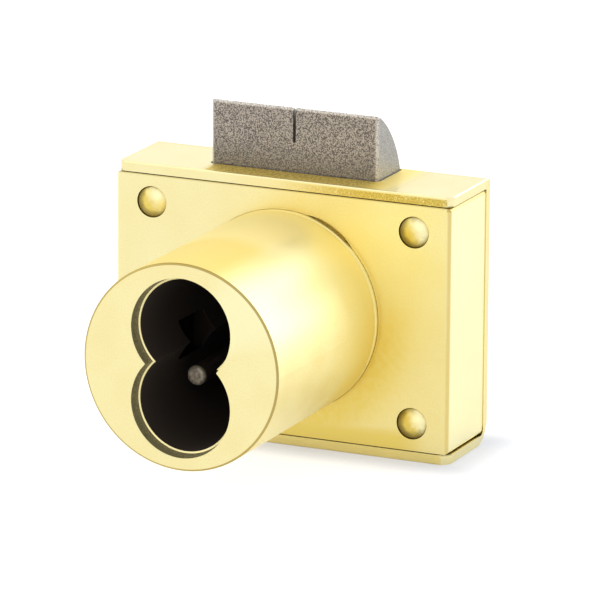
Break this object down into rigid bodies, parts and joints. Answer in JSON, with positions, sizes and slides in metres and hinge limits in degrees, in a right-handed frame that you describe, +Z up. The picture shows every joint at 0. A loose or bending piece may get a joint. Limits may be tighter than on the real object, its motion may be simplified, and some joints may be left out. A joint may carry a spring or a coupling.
{
  "type": "drawer lock",
  "caption": "Rim drawer lock: flat brass-plated case, sprung latch bolt on top, and a round barrel with a figure-eight pocket for an interchangeable core.",
  "frame": {"origin": "on the barrel's axis, in the plane of the front plate's outer face, where the barrel's full diameter ends", "axes": "+X to the right and +Z up for someone facing the core, +Y from the drawer front into the case; the bolt comes out along +Z"},
  "size_m": [0.0558, 0.0516, 0.0519],
  "materials": {
    "case_brass": "bright brass plating, fine orange-peel and pinholes",
    "cover_brass": "polished brass plating on sheet, sheared edges left rough",
    "barrel_brass": "satin brass plating, turned",
    "post_brass": "brass plating over domed rivet ends, pitted",
    "screw_brass": "brass plating",
    "plate_steel": "plain rolled steel, oiled",
    "bolt_sintered": "sintered powder metal, grainy, steam-treated",
    "throw_steel": "turned steel, dull",
    "spring_steel": "drawn wire, bright"
  },
  "bodies": {
    "case": {"front_case": "case_brass", "back_cover": "cover_brass", "barrel_housing": "barrel_brass", "post_upper_left": "post_brass", "post_upper_right": "post_brass", "post_lower_left": "post_brass", "post_lower_right": "post_brass", "cover_screw_upper_left": "screw_brass", "cover_screw_upper_right": "screw_brass", "cover_screw_lower_left": "screw_brass", "cover_screw_lower_right": "screw_brass", "mechanism_plate": "plate_steel", "bolt_spring_left": "spring_steel", "bolt_spring_right": "spring_steel", "guide_rod_left": "spring_steel", "guide_rod_right": "spring_steel"},
    "bolt": {"latch_bolt": "bolt_sintered"},
    "throw": {"throw_hub": "throw_steel", "throw_cam": "throw_steel", "drive_pin": "throw_steel", "hub_clip": "spring_steel", "throw_prong_left": "throw_steel", "throw_prong_right": "throw_steel"}
  },
  "joints": [
    {"name": "bolt_slide", "type": "slide", "parent": "case", "child": "bolt", "axis": [0, 0, 1], "range_m": [-0.0101, 0], "stiffness_N_per_m": 260, "springref_m": 0.012, "deforming": ["bolt_spring_left", "bolt_spring_right"]},
    {"name": "throw_turn", "type": "hinge", "parent": "case", "child": "throw", "pos_m": [0, 0.003, -0.0058], "axis": [0, 1, 0], "range_deg": [0, 90]}
  ],
  "couplings": [
    {"joint": "throw_turn", "follows": "bolt_slide", "rad_per_m": -155.5}
  ]
}
